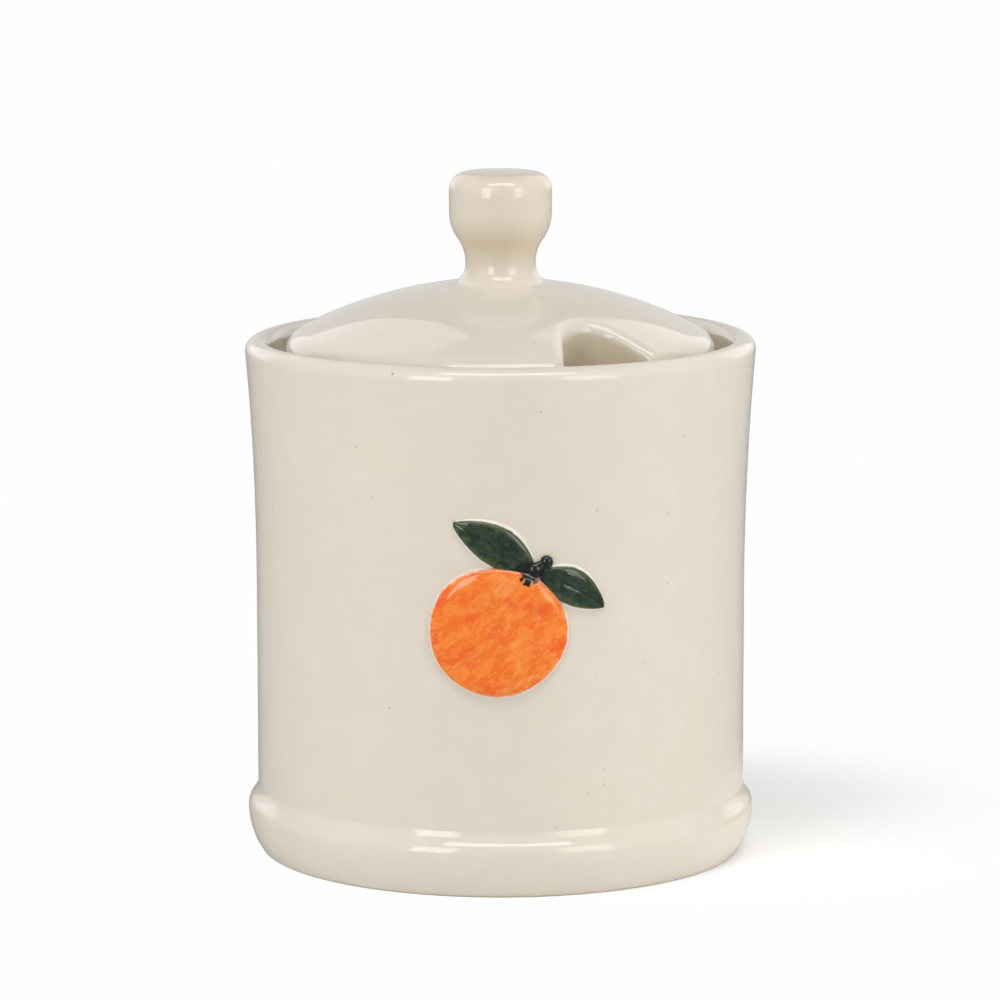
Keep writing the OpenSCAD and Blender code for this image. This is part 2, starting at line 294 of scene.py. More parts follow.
# Making of meshes

merge_gap = 0.0005
sliver = 0.0001
axis_room = 1
full_give_r = 20


def swept(line, steps):
    """Mesh swept once round the axis from a line of (r, z)."""
    mesh = bmesh.new()
    verts = [mesh.verts.new((r, 0, z)) for r, z in line]
    edges = [mesh.edges.new(pair) for pair in zip(verts, verts[1:])]
    bmesh.ops.spin(mesh, geom=verts + edges, axis=(0, 0, 1), cent=(0, 0, 0), steps=steps,
                   angle=math.tau, use_merge=True)
    return mesh


def finished(name, mesh, body, nodes, material, sharp=40):
    """Piece in metres from a mesh in millimetres, riding on a body in place of its CAD nodes."""
    bmesh.ops.remove_doubles(mesh, verts=mesh.verts, dist=merge_gap)
    bmesh.ops.dissolve_degenerate(mesh, edges=mesh.edges, dist=sliver)
    bmesh.ops.recalc_face_normals(mesh, faces=mesh.faces)
    bmesh.ops.scale(mesh, vec=(MM, MM, MM), verts=mesh.verts)
    for face in mesh.faces:
        face.smooth = True
    for edge in mesh.edges:
        if len(edge.link_faces) == 2:
            edge.smooth = edge.calc_face_angle(0) < math.radians(sharp)
    data = bpy.data.meshes.new(name)
    mesh.to_mesh(data)
    mesh.free()
    data.materials.append(material)
    piece = bpy.data.objects.new(name, data)
    bpy.context.scene.collection.objects.link(piece)
    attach(piece, body)
    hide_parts(*nodes)
    return piece


def hand_worked(mesh, depth, size):
    """Soft unevenness of work turned by hand, which only takes clay away."""
    for vert in mesh.verts:
        reach = math.hypot(vert.co.x, vert.co.y)
        if reach > axis_room:
            give = depth * (0.5 + 0.5 * noise.noise(vert.co / size)) * min(reach / full_give_r, 1)
            vert.co.x *= 1 - give / reach
            vert.co.y *= 1 - give / reach


def pot_shell(material):
    """Wall, floor, foot and gallery of the pot as one skin, with its rim a touch low at the back left."""
    mesh = swept(pot_section(), steps=256)
    hand_worked(mesh, pot_give, pot_swell)
    for vert in mesh.verts:
        back_left = math.cos(math.atan2(vert.co.y, vert.co.x) - math.radians(low_rim_turn))
        vert.co.z -= low_rim * ease(0, 1, back_left) * ease(low_rim_from, low_rim_full, vert.co.z)
    return finished("pot_shell", mesh, "pot",
                    ("pot_wall", "pot_floor", "foot_band", "lid_gallery"), material)


# Shape of the lid

edge_c = (lid_r - edge_round, seat_z + edge_up)
dome_run = apex_z - edge_c[1]
dome_r = (edge_c[0] ** 2 + dome_run ** 2 - edge_round ** 2) / (2 * (dome_run - edge_round))
dome_c = (0, apex_z - dome_r)
ring_in = ring_r - ring_w
ring_round_z = ring_foot + ring_w / 2
near_gap = 0.001


def lid_top(r):
    """Height of the lid's upper side at radius r, before the notch is cut."""
    if r < edge_c[0] * dome_r / (dome_r - edge_round):
        return dome_c[1] + math.sqrt(dome_r ** 2 - r ** 2)
    return edge_c[1] + math.sqrt(max(edge_round ** 2 - (r - edge_c[0]) ** 2, 0))


def lid_under(r):
    """Height of the underside of the dome at radius r."""
    return dome_c[1] + math.sqrt((dome_r - dome_t) ** 2 - r ** 2)


def edge_tuck(fall):
    """How far the rolled edge has tucked in at a fall below its widest place."""
    return edge_round - math.sqrt(edge_round ** 2 - fall ** 2)


def knob_line():
    """Section of the knob and its neck, from the middle of the top down to the plain part of the dome."""
    neck_c = (neck_r + neck_curve, waist_z)
    belly_up = waist_z + head_belly
    gap = neck_c[0] - knob_r
    belly_r = (gap ** 2 + head_belly ** 2 - neck_curve ** 2) / (2 * (neck_curve - gap))
    head_c = (knob_r - belly_r, belly_up)
    meet = turn_of(head_c, neck_c)
    roll_c = (knob_r - head_roll, top_z - head_crown - head_roll)
    crown_r = (roll_c[0] ** 2 + (top_z - roll_c[1]) ** 2 - head_roll ** 2) / (2 * head_crown)
    crown_c = (0, top_z - crown_r)
    crown_turn = turn_of(crown_c, roll_c)
    fillet_out = neck_r + neck_fillet
    fillet_c = (fillet_out, dome_c[1] + math.sqrt((dome_r + neck_fillet) ** 2 - fillet_out ** 2))
    line = arc(crown_c, crown_r, 90, crown_turn, steps=8)
    line += arc(roll_c, head_roll, crown_turn, 0, steps=12)[1:]
    line += straight((knob_r, roll_c[1]), (knob_r, belly_up), steps=4)
    line += arc(head_c, belly_r, 0, meet, steps=10)
    line += arc(neck_c, neck_curve, 180 + meet, 180, steps=12)[1:]
    line += arc(fillet_c, neck_fillet, 180, 360 + turn_of(fillet_c, dome_c), steps=12)[1:]
    first = line[-1][0]
    for share in shares(steps=8):
        r = first + (even_r - first) * share
        line.append((r, lid_top(r)))
    return line


# Columns round the lid: over the notch's end, along its side, round its mouth and round the plain edge
end_columns = 15
side_columns = 17
mouth_columns = 14
plain_columns = 132
plain_crowding = 0.4


def notch_half():
    """Columns of half the lid's edge, from the middle of the notch to the far side of the lid.
    Each is its place, the way in from the edge, its share of plain edge and the reach of its rounding.
    With them come the ring's outer corner at the notch, a point on the ring's inner side there and the
    way along that side."""
    end_c = Vector((lid_r - notch_depth + notch_end, 0))
    along = ray_at(notch_flare)
    away = Vector((-along.y, along.x))
    side = end_c + notch_end * away
    start = side + mouth_round * away
    lean = start.dot(along)
    run = math.sqrt(lean ** 2 + (lid_r - mouth_round) ** 2 - start.length_squared) - lean
    mouth_c = start + run * along
    outward = math.atan2(mouth_c.y, mouth_c.x)
    side_turn = notch_flare - math.pi / 2
    columns = []
    for k in range(end_columns):
        way = ray_at(math.pi + side_turn * k / end_columns)
        columns.append((end_c + notch_end * way, way, 0, notch_lip))
    cut = math.sqrt(side.dot(along) ** 2 + ring_r ** 2 - side.length_squared) - side.dot(along)
    for t in sorted([run * k / side_columns for k in range(side_columns)] + [cut]):
        columns.append((side + t * along, away, 0, notch_lip))
    for k in range(mouth_columns):
        share = k / mouth_columns
        way = -ray_at(side_turn + (outward - side_turn) * share)
        columns.append((mouth_c - mouth_round * way, way, ease(mouth_plain_share, 1, share), notch_lip))
    for share in [0] + shares(plain_columns):
        turn = outward + (math.pi - outward) * share * (plain_crowding + (1 - plain_crowding) * share)
        way = -ray_at(turn)
        reach = notch_lip + (edge_round - notch_lip) * ease(0, edge_grows_over, turn - outward)
        columns.append((-lid_r * way, way, 1, reach))
    return columns, side + cut * along, side + ring_w * away, along


def ring_column(place, way, corner, corner_turn, inner_corner):
    """Outer and inner foot of the locating ring in one column. The ring turns in to run round the notch."""
    if place.length <= ring_r + near_gap:
        inner = place + ring_w * way
        return place, inner if inner.length < ring_in else inner_corner
    if place.length < lid_r - near_gap:
        return corner, inner_corner
    turn = math.atan2(place.y, place.x)
    share = (turn - corner_turn) / (math.pi - corner_turn)
    first = math.atan2(corner.y, corner.x)
    turn = first + (math.pi - first) * share
    inner_turn = max(turn, math.atan2(inner_corner.y, inner_corner.x))
    return ring_r * ray_at(turn), ring_in * ray_at(inner_turn)


def lid_column(place, way, plain, reach, top, outer, inner):
    """Points down one column of the lid: knob, dome, edge, seat, locating ring and hollow."""
    ray = ray_at(math.atan2(place.y, place.x))
    points = [(r * ray.x, r * ray.y, z) for r, z in top]

    def down(spot, z):
        points.append((spot.x, spot.y, z))

    def skin(spot, depth):
        drop = notch_lip - math.sqrt(notch_lip ** 2 - max(notch_lip - depth, 0) ** 2)
        down(spot, lid_top(spot.length) - (1 - plain) * drop)

    # Dome, and the rounding over its edge
    for share in shares(steps=15):
        skin((even_r * ray).lerp(place + reach * way, share), reach)
    for share in shares(steps=16):
        depth = reach * (1 - math.cos(math.pi / 2 * (1 - share)))
        skin(place + depth * way, depth)
    # Side of the edge, and its lower rounding where the seat begins
    edge_z = points[-1][2]
    for share in shares(steps=8):
        z = edge_z + (seat_z + seat_round - edge_z) * share
        fall = min(max(edge_c[1] - z, 0), edge_up)
        down(place + plain * edge_tuck(fall) * way, z)
    tuck = plain * edge_tuck(edge_up - seat_round)
    seated = 0 if outer == place else 1
    for share in shares(steps=4):
        a = math.pi / 2 * share
        spot = place + (tuck + seated * seat_round * (1 - math.cos(a))) * way
        down(spot, seat_z + seat_round * (1 - math.sin(a)))
    # Seat, and the locating ring below it
    for share in shares(steps=4):
        down(spot.lerp(outer, share), seat_z)
    for share in shares(steps=4):
        down(outer, seat_z + (ring_round_z - seat_z) * share)
    for share in shares(steps=14):
        a = math.pi * share
        down(outer.lerp(inner, (1 - math.cos(a)) / 2), ring_round_z - ring_w / 2 * math.sin(a))
    # Hollow of the lid, up from the ring and in to its middle
    hollow_z = lid_under(inner.length) - hollow_round
    for share in shares(steps=6):
        down(inner, ring_round_z + (hollow_z - ring_round_z) * share)
    for share in shares(steps=4):
        a = math.pi / 2 * share
        spot = inner * (1 - hollow_round * (1 - math.cos(a)) / inner.length)
        down(spot, lid_under(spot.length) - hollow_round * (1 - math.sin(a)))
    for share in shares(steps=16):
        under = spot * (1 - share)
        down(under, lid_under(under.length))
    return points


def lid_shell(material):
    """Knob, dome, notch and locating ring as one skin: a tube whose vertices take the net's places."""
    half, corner, offset, along = notch_half()
    lean = offset.dot(along)
    inner_corner = offset + (math.sqrt(lean ** 2 + ring_in ** 2 - offset.length_squared) - lean) * along
    corner_turn = next(math.atan2(p.y, p.x) for p, way, plain, reach in half if plain == 1)
    top = knob_line()
    net = []
    for place, way, plain, reach in half:
        outer, inner = ring_column(place, way, corner, corner_turn, inner_corner)
        net.append(lid_column(place, way, plain, reach, top, outer, inner))
    net += [[(x, -y, z) for x, y, z in column] for column in net[-2:0:-1]]
    # The tube has one column of vertices for each column of the net
    mesh = swept([(1, k) for k in range(len(net[0]))], steps=len(net))
    to_place = Matrix.Rotation(math.radians(notch_turn - 90), 3, "Z")
    for vert in mesh.verts:
        share = math.atan2(vert.co.y, vert.co.x) / math.tau
        column = net[round(share * len(net)) % len(net)]
        vert.co = to_place @ Vector(column[round(vert.co.z)])
    hand_worked(mesh, lid_give, lid_swell)
    return finished("lid_shell", mesh, "lid", ("lid_dome", "locating_ring", "lid_knob"),
                    material, sharp=50)


# Shape of the reliefs

def on_wall(x, z, out):
    """Place over the wall: x along it from the front line, z its height, out its way off the wall."""
    turn = x / wall_r
    reach = wall_at(z) + out
    return Vector((reach * math.sin(turn), -reach * math.cos(turn), z))


def laid_on_wall(mesh, shape):
    """Lays a flat grid on the wall with shape(u, v), which gives x, z, out and the two paint values."""
    paint = mesh.verts.layers.float.new("inset"), mesh.verts.layers.float.new("across")
    for vert in mesh.verts:
        x, z, out, inset, across = shape(vert.co.x, vert.co.y)
        vert[paint[0]], vert[paint[1]] = inset, across
        vert.co = on_wall(x, z, out)
    bmesh.ops.solidify(mesh, geom=mesh.faces[:], thickness=relief_sheet)
    return mesh


def grid(rows, columns):
    """Flat square grid from -1 to 1."""
    mesh = bmesh.new()
    bmesh.ops.create_grid(mesh, x_segments=rows, y_segments=columns, size=1)
    return mesh


def over_relief(place, body_share, foot_share):
    """Place over a relief for a place over its grid: 1 at the relief's edge, and past 1 on its foot."""
    if place < body_share:
        return math.sin(math.pi / 2 * place / body_share)
    return 1 + foot_share * (place - body_share) / (1 - body_share)


def foot_height(fall):
    """Height over the wall of a relief's foot, for a fall of 0 at its edge to 1 where it has sunk in."""
    return relief_edge * (1 - fall) ** 2 - relief_sink * fall


def fruit(material):
    """Round fruit, full all over and rolled down to a soft foot on the wall."""

    def shape(u, v):
        turn = math.atan2(v * math.sqrt(1 - u * u / 2), u * math.sqrt(1 - v * v / 2))
        spread = over_relief(max(abs(u), abs(v)), fruit_body_share, fruit_foot_share)
        wobble = 1 + fruit_wobble * (math.sin(3 * turn + 1) + 0.75 * math.sin(5 * turn + 2.2))
        x, y = spread * wobble * ray_at(turn)
        if spread < 1:
            out = relief_edge + (fruit_t - relief_edge) * math.sqrt(1 - spread ** fruit_fullness)
            dents = 0.5 + 0.5 * noise.noise(fruit_dents_across * Vector((x, y, 0)))
            out -= fruit_dent * dents * (1 - spread ** fruit_dent_fade)
        else:
            out = foot_height((spread - 1) / fruit_foot_share)
        return fruit_x + fruit_a * x, fruit_z + fruit_b * y, out, 1 - spread, 0

    mesh = laid_on_wall(grid(rows=110, columns=110), shape)
    return finished("fruit", mesh, "pot", ("fruit_relief",), material)


def leaf(name, node, base, turn, length, width, bow, material):
    """Pointed leaf with a grooved midrib, full beside it and rolled down to a soft foot on the wall."""
    way = ray_at(math.radians(turn))
    across = Vector((-way.y, way.x))

    def shape(u, v):
        along = 0.5 + leaf_reach_share * u
        t = min(max(along, 0), 1)
        to_point = min(t, 1 - t)
        rise = math.sin(math.pi * t)
        s = math.copysign(over_relief(abs(v), leaf_body_share, leaf_foot_share), v)
        fall = max(abs(s) - 1, 0) / leaf_foot_share
        outline = math.sin(math.pi * t ** leaf_lean) ** leaf_bluntness if to_point > 0 else 0
        half = width / 2 * max(outline, leaf_point_share) + leaf_foot_w * fall
        place = Vector(base) + way * (length * along) + across * (bow * rise + half * s)
        if abs(s) < 1:
            body = math.sqrt(max((1 - s ** leaf_fullness) * rise, 0))
            out = relief_edge + (leaf_t - relief_edge) * body
            out -= leaf_groove * rise * math.exp(-(s / leaf_groove_share) ** 2)
        else:
            out = foot_height(fall)
        out = min(out, relief_edge + leaf_point_rise * to_point)
        if to_point == 0:
            out = -leaf_point_sink
        return place.x, place.y, out, (1 - abs(s)) * min(1, leaf_point_bare * to_point), s

    mesh = laid_on_wall(grid(rows=90, columns=34), shape)
    return finished(name, mesh, "pot", (node,), material)


def stem_nub(material):
    """Stub of stem: a flattened bead where the leaves meet, with a smaller bead running out of its top."""
    line = [(0, -knot_r)] + arc((0, 0), knot_r, -85, 45, steps=12)
    line.append((nub_neck_share * nub_r, nub_l / 2 + nub_neck_up))
    line += arc((0, nub_l), nub_r, -45, 85, steps=12) + [(0, nub_l + nub_r)]
    mesh = swept(line, steps=40)
    bmesh.ops.scale(mesh, vec=(1, knot_flat, 1), verts=mesh.verts)
    lean = Matrix.Rotation(math.radians(nub_lean), 4, "Y")
    to_wall = Matrix.Translation(on_wall(knot_x, knot_z, 0))
    bmesh.ops.transform(mesh, matrix=to_wall @ lean, verts=mesh.verts)
    inset = mesh.verts.layers.float.new("inset")
    across = mesh.verts.layers.float.new("across")
    for vert in mesh.verts:
        vert[inset], vert[across] = 1, 0
    return finished("stem_nub_bead", mesh, "pot", ("stem_nub",), material)


# Making of materials

def add(tree, kind, **settings):
    """New node in a tree, with its settings; inputs gives values to sockets by their names."""
    made = tree.nodes.new(kind)
    for name, value in settings.pop("inputs", {}).items():
        made.inputs[name].default_value = value
    for name, value in settings.items():
        setattr(made, name, value)
    return made


def fill(tree, sockets, values):
    """Gives each socket its value: a number, a colour, or another socket to link it to."""
    for socket, value in zip(sockets, values):
        if isinstance(value, (int, float)):
            socket.default_value = value
        elif isinstance(value, tuple):
            socket.default_value = (*value, 1)
        else:
            tree.links.new(value, socket)


def worked(tree, operation, first, second=0):
    """Result of a sum on two values, each a socket or a number."""
    made = add(tree, "ShaderNodeMath", operation=operation)
    fill(tree, made.inputs, (first, second))
    return made.outputs[0]


def plus(tree, first, second):
    """Sum of two values."""
    return worked(tree, "ADD", first, second)


def times(tree, first, second):
    """Product of two values."""
    return worked(tree, "MULTIPLY", first, second)


def mixed(tree, share, first, second):
    """Value between two, each a socket or a number, by a share."""
    made = add(tree, "ShaderNodeMix")
    fill(tree, (made.inputs[0], made.inputs[2], made.inputs[3]), (share, first, second))
    return made.outputs[0]


def blended(tree, share, first, second):
    """Colour between two, each a socket or a colour, by a share."""
    made = add(tree, "ShaderNodeMix", data_type="RGBA")
    fill(tree, (made.inputs[0], made.inputs[6], made.inputs[7]), (share, first, second))
    return made.outputs[2]


def between(tree, value, low, high, start=0.0, end=1.0):
    """Value turned smoothly from low..high into start..end."""
    made = add(tree, "ShaderNodeMapRange", interpolation_type="SMOOTHSTEP",
               inputs={"From Min": low, "From Max": high, "To Min": start, "To Max": end})
    tree.links.new(value, made.inputs["Value"])
    return made.outputs[0]


def distance_to(tree, place, spot):
    """Distance in metres of a place from a fixed spot."""
    made = add(tree, "ShaderNodeVectorMath", operation="DISTANCE")
    tree.links.new(place, made.inputs[0])
    made.inputs[1].default_value = spot
    return made.outputs["Value"]


def clouds(tree, place, size, detail=2.0, roughness=0.5, stretch=None):
    """Noise whose patches are about size millimetres wide, drawn out along an axis where asked."""
    made = add(tree, "ShaderNodeTexNoise",
               inputs={"Scale": 1 / (size * MM), "Detail": detail, "Roughness": roughness})
    if stretch:
        turned = add(tree, "ShaderNodeMapping", vector_type="TEXTURE",
                     inputs={"Rotation": stretch[0], "Scale": stretch[1]})
        tree.links.new(place, turned.inputs["Vector"])
        place = turned.outputs[0]
    tree.links.new(place, made.inputs["Vector"])
    return made.outputs["Fac"]


def patches(tree, place, tone, colour, low, high, strength=1.0, **noise_kind):
    """Soft patches of a colour over a tone, from nothing where the noise is low to strength where high."""
    field = clouds(tree, place, **noise_kind)
    return blended(tree, between(tree, field, low, high, end=strength), tone, colour)


def uneven(tree, value, place, size, detail, amount):
    """Value made uneven by noise, by up to half the amount either way."""
    field = worked(tree, "SUBTRACT", clouds(tree, place, size, detail), 0.5)
    return plus(tree, value, times(tree, field, amount))


def here_in(tree):
    """Place on the piece, from its Object coordinates."""
    return add(tree, "ShaderNodeTexCoord").outputs["Object"]


def height_in(tree, place):
    """Height of a place."""
    parts = add(tree, "ShaderNodeSeparateXYZ")
    tree.links.new(place, parts.inputs[0])
    return parts.outputs["Z"]


def painted(tree, name):
    """Paint value that a relief's mesh carries."""
    return add(tree, "ShaderNodeAttribute", attribute_name=name).outputs["Fac"]


def new_group(name, inputs, outputs):
    """Empty node group with named sockets: (name, kind, value) going in and (name, kind) coming out."""
    tree = bpy.data.node_groups.new(name, "ShaderNodeTree")
    for title, kind, value in inputs:
        made = tree.interface.new_socket(title, in_out="INPUT", socket_type="NodeSocket" + kind)
        made.default_value = value
    for title, kind in outputs:
        tree.interface.new_socket(title, in_out="OUTPUT", socket_type="NodeSocket" + kind)
    return tree, tree.nodes.new("NodeGroupInput").outputs, tree.nodes.new("NodeGroupOutput").inputs


def placed(tree, group, **values):
    """Node group placed in a material with its own values."""
    made = add(tree, "ShaderNodeGroup", node_tree=group)
    for name, value in values.items():
        made.inputs[name].default_value = value
    return made.outputs


# Effects that the glazes share

peel_share = 0.05
fine_cell, coarse_cell = 1.3, 2.9
fine_strength, coarse_strength = 0.55, 1.0
gloss_sharp, gloss_worn = 0.03, 0.06


def gloss_group():
    """Surface of a clear gloss glaze: soft swells, fine orange peel and a little uneven gloss."""
    tree, given, result = new_group("gloss", [("Swell", "Float", 1.0), ("Peel", "Float", 1.0)],
                                    [("Height", "Float"), ("Roughness", "Float")])
    place = here_in(tree)
    swell = times(tree, clouds(tree, place, size=14, detail=1), given["Swell"])
    peel = times(tree, clouds(tree, place, size=1.6, detail=1), times(tree, given["Peel"], peel_share))
    tree.links.new(plus(tree, swell, peel), result["Height"])
    worn = clouds(tree, place, size=9, detail=3)
    tree.links.new(between(tree, worn, low=0.3, high=0.75, start=gloss_sharp, end=gloss_worn),
                   result["Roughness"])
    return tree


def speck_group():
    """Sparse fine specks of iron in the glaze, as a mask."""
    tree, given, result = new_group("specks", [("Share", "Float", 0.985), ("Size", "Float", 0.16)],
                                    [("Mask", "Float")])
    place = here_in(tree)
    marks = []
    for size, strength in ((fine_cell, fine_strength), (coarse_cell, coarse_strength)):
        cells = add(tree, "ShaderNodeTexVoronoi", inputs={"Scale": 1 / (size * MM)})
        tree.links.new(place, cells.inputs["Vector"])
        parts = add(tree, "ShaderNodeSeparateColor")
        tree.links.new(cells.outputs["Color"], parts.inputs[0])
        chosen = worked(tree, "GREATER_THAN", parts.outputs[0], given["Share"])
        reach = times(tree, given["Size"], fine_cell / size)
        near = worked(tree, "LESS_THAN", cells.outputs["Distance"], reach)
        marks.append(times(tree, times(tree, chosen, near), strength))
    tree.links.new(worked(tree, "MAXIMUM", *marks), result["Mask"])
    return tree


gloss = gloss_group()
specks = speck_group()


# Glazes

glaze_ior = 1.58
speck_depth = 0.7
dry_from, dry_full = 0.5, 0.25
dry_roughness = 0.85
thick_fade = 4
# Painted shade with pooled glaze under the knob's head: its heights above the waist, and its depth
pool_shade_low, pool_shade_mid, pool_shade_high = -1, 3.2, 7.5
pool_shade_depth = 0.5
# Painted shade with pooled glaze inside the lid: how far under its upper side it fades in, and how far
# within its edge
inside_shade_from, inside_shade_full = 1.2, 2.4
inside_shade_edge = 2
stain_left, stain_down, stain_out = 0.9, 1.1, 1
stain_fringe = 3.4

# Colours
cream_cool = (0.735, 0.675, 0.585)
cream_warm = (0.755, 0.685, 0.578)
cream_pale = (0.80, 0.755, 0.67)
# Painted shade with pooled glaze, under the knob's head
cream_pool_shade = (0.62, 0.50, 0.30)
cream_thick = (0.735, 0.65, 0.54)
# Painted shade with pooled glaze, inside the lid and its notch
cream_inside_pool_shade = (0.66, 0.56, 0.415)
speck_brown = (0.30, 0.21, 0.12)
dry_clay = (0.66, 0.56, 0.43)
orange_deep = (0.88, 0.165, 0.015)
orange_light = (0.95, 0.25, 0.035)
orange_red = (0.84, 0.105, 0.015)
orange_pale = (0.95, 0.38, 0.10)
leaf_deep = (0.010, 0.022, 0.012)
leaf_mid = (0.025, 0.048, 0.026)
leaf_blue = (0.028, 0.044, 0.040)
leaf_light = (0.085, 0.115, 0.048)
leaf_dark = (0.005, 0.009, 0.007)


def glazed(name, swell, peel, bump):
    """Glossy material ready for its colour: the material, its tree, its shader and its gloss."""
    made = bpy.data.materials.new(name)
    made.use_nodes = True
    tree = made.node_tree
    shader = tree.nodes["Principled BSDF"]
    shader.inputs["IOR"].default_value = glaze_ior
    surface = placed(tree, gloss, Swell=swell, Peel=peel)
    raised = add(tree, "ShaderNodeBump", inputs={"Strength": 1.0, "Distance": bump * MM})
    tree.links.new(surface["Height"], raised.inputs["Height"])
    tree.links.new(raised.outputs[0], shader.inputs["Normal"])
    return made, tree, shader, surface


def cream_glaze(name, marks=None):
    """Cream glaze over pale clay; marks(tree, place, height, tone) adds the tones of one piece."""
    made, tree, shader, surface = glazed(name, swell=1.0, peel=1.0, bump=0.1)
    place = here_in(tree)
    height = height_in(tree, place)
    tone = patches(tree, place, cream_cool, cream_warm, low=0.3, high=0.7, size=38, detail=2)
    tone = patches(tree, place, tone, cream_pale, low=0.45, high=0.85, strength=0.35, size=6, detail=3)
    if marks:
        tone = marks(tree, place, height, tone)
    specked = placed(tree, specks)
    tone = blended(tree, times(tree, specked["Mask"], speck_depth), tone, speck_brown)
    # The ring that the pot stands on is left dry
    dry = between(tree, height, dry_from * MM, dry_full * MM)
    tree.links.new(blended(tree, dry, tone, dry_clay), shader.inputs["Base Color"])
    tree.links.new(mixed(tree, dry, surface["Roughness"], dry_roughness), shader.inputs["Roughness"])
    return made


def lid_marks(tree, place, height, tone):
    """Lid's own tones: thicker glaze on the knob, and painted shade with pooled glaze under its head and
    deeper inside the dome.
    """
    thick = between(tree, height, (waist_z - thick_fade) * MM, waist_z * MM)
    tone = blended(tree, thick, tone, cream_thick)
    # Painted shade with pooled glaze, made uneven, on the neck under the knob's head
    low, middle, high = ((waist_z + rise) * MM for rise in (pool_shade_low, pool_shade_mid, pool_shade_high))
    pool_shade = times(tree, between(tree, height, low, middle), between(tree, height, high, middle))
    thin = between(tree, clouds(tree, place, size=3.5, detail=2), low=0.25, high=0.7, start=0.75)
    tone = blended(tree, times(tree, times(tree, pool_shade, thin), pool_shade_depth), tone, cream_pool_shade)
    # Painted shade with pooled glaze on the lid's faces well below its upper side and within its edge: the
    # notch's lower walls, the ring and the hollow underneath
    depth = distance_to(tree, place, (0, 0, dome_c[1] * MM))
    inside = between(tree, depth, (dome_r - inside_shade_from) * MM, (dome_r - inside_shade_full) * MM)
    level = add(tree, "ShaderNodeVectorMath", operation="MULTIPLY")
    tree.links.new(place, level.inputs[0])
    level.inputs[1].default_value = (1, 1, 0)
    from_axis = distance_to(tree, level.outputs[0], (0, 0, 0))
    within = between(tree, from_axis, lid_r * MM, (lid_r - inside_shade_edge) * MM)
    return blended(tree, times(tree, inside, within), tone, cream_inside_pool_shade)


def by_the_stem(tree, place, gone, full):
    """Ragged patch beside the stem: 1 within full, 0 past gone, both in millimetres."""
    middle = on_wall(knot_x - stain_left, knot_z - stain_down, stain_out) * MM
    fringe = times(tree, clouds(tree, place, size=0.8, detail=3), stain_fringe * MM)
    ragged = plus(tree, distance_to(tree, place, middle), fringe)
    return between(tree, ragged, gone * MM, full * MM)


def orange_glaze():
    """Orange colour dabbed on with a brush under clear glaze, with a thin bare edge."""
    made, tree, shader, surface = glazed("orange_glaze", swell=0.6, peel=2.5, bump=0.25)
    place = here_in(tree)
    slant = ((0, math.radians(-35), 0), (1.7, 1, 0.8))
    tone = patches(tree, place, orange_deep, orange_light, low=0.40, high=0.60,
                   size=2.4, detail=5, roughness=0.68, stretch=slant)
    tone = patches(tree, place, tone, orange_red, low=0.48, high=0.66, strength=0.85,
                   size=4.2, detail=4, roughness=0.65)
    tone = patches(tree, place, tone, orange_pale, low=0.52, high=0.68, strength=0.6,
                   size=3.1, detail=5, roughness=0.7, stretch=slant)
    tone = patches(tree, place, tone, orange_pale, low=0.52, high=0.70, strength=0.55,
                   size=0.8, detail=4, roughness=0.65, stretch=slant)
    # Dark strokes of the leaf colour beside the stem
    tone = blended(tree, by_the_stem(tree, place, gone=3.15, full=2.85), tone, leaf_dark)
    edge = uneven(tree, painted(tree, "inset"), place, size=1.2, detail=3, amount=0.07)
    tone = blended(tree, between(tree, edge, low=-0.022, high=0.03), cream_pale, tone)
    tree.links.new(tone, shader.inputs["Base Color"])
    tree.links.new(surface["Roughness"], shader.inputs["Roughness"])
    return made


def leaf_glaze():
    """Dark green colour brushed along each leaf under clear glaze, thin and yellowish at its edges."""
    made, tree, shader, surface = glazed("leaf_glaze", swell=0.6, peel=2.0, bump=0.25)
    place = here_in(tree)
    slant = ((0, math.radians(32), 0), (2.4, 1, 0.8))
    tone = patches(tree, place, leaf_deep, leaf_mid, low=0.40, high=0.60,
                   size=1.3, detail=5, roughness=0.68, stretch=slant)
    tone = patches(tree, place, tone, leaf_blue, low=0.5, high=0.68, strength=0.7,
                   size=2.6, detail=4, roughness=0.6)
    tone = patches(tree, place, tone, leaf_light, low=0.52, high=0.68, strength=0.7,
                   size=1.7, detail=5, roughness=0.7)
    # Dark along the midrib, light near the edges, and dark again beside the stem
    fringe = times(tree, clouds(tree, place, size=1.1, detail=4, roughness=0.65), 0.9)
    ragged = plus(tree, worked(tree, "ABSOLUTE", painted(tree, "across")), fringe)
    tone = blended(tree, between(tree, ragged, low=0.62, high=0.40), tone, leaf_dark)
    tone = blended(tree, between(tree, ragged, low=1.0, high=1.4, end=0.75), tone, leaf_light)
    tone = blended(tree, by_the_stem(tree, place, gone=4.9, full=3.9), tone, leaf_dark)
    edge = uneven(tree, painted(tree, "inset"), place, size=1.2, detail=2, amount=0.1)
    tone = blended(tree, between(tree, edge, low=-0.04, high=0.03), cream_pale, tone)
    tree.links.new(tone, shader.inputs["Base Color"])
    tree.links.new(surface["Roughness"], shader.inputs["Roughness"])
    return made


pot_glaze = cream_glaze("cream_glaze_pot")
lid_glaze = cream_glaze("cream_glaze_lid", lid_marks)
fruit_glaze = orange_glaze()
green_glaze = leaf_glaze()

pot_shell(pot_glaze)
lid_shell(lid_glaze)
fruit(fruit_glaze)
leaf("long_leaf_relief", "long_leaf", base=(knot_x, knot_z), turn=149.2,
     length=15.2, width=6.2, bow=-0.5, material=green_glaze)
leaf("short_leaf_relief", "short_leaf", base=(knot_x + 0.8, knot_z - 0.4), turn=-27.8,
     length=12.3, width=5.6, bow=0.5, material=green_glaze)
stem_nub(green_glaze)


# The studio, in metres

paper_white = 0.99
gloss_surround = 0.32
ambient = 0.13

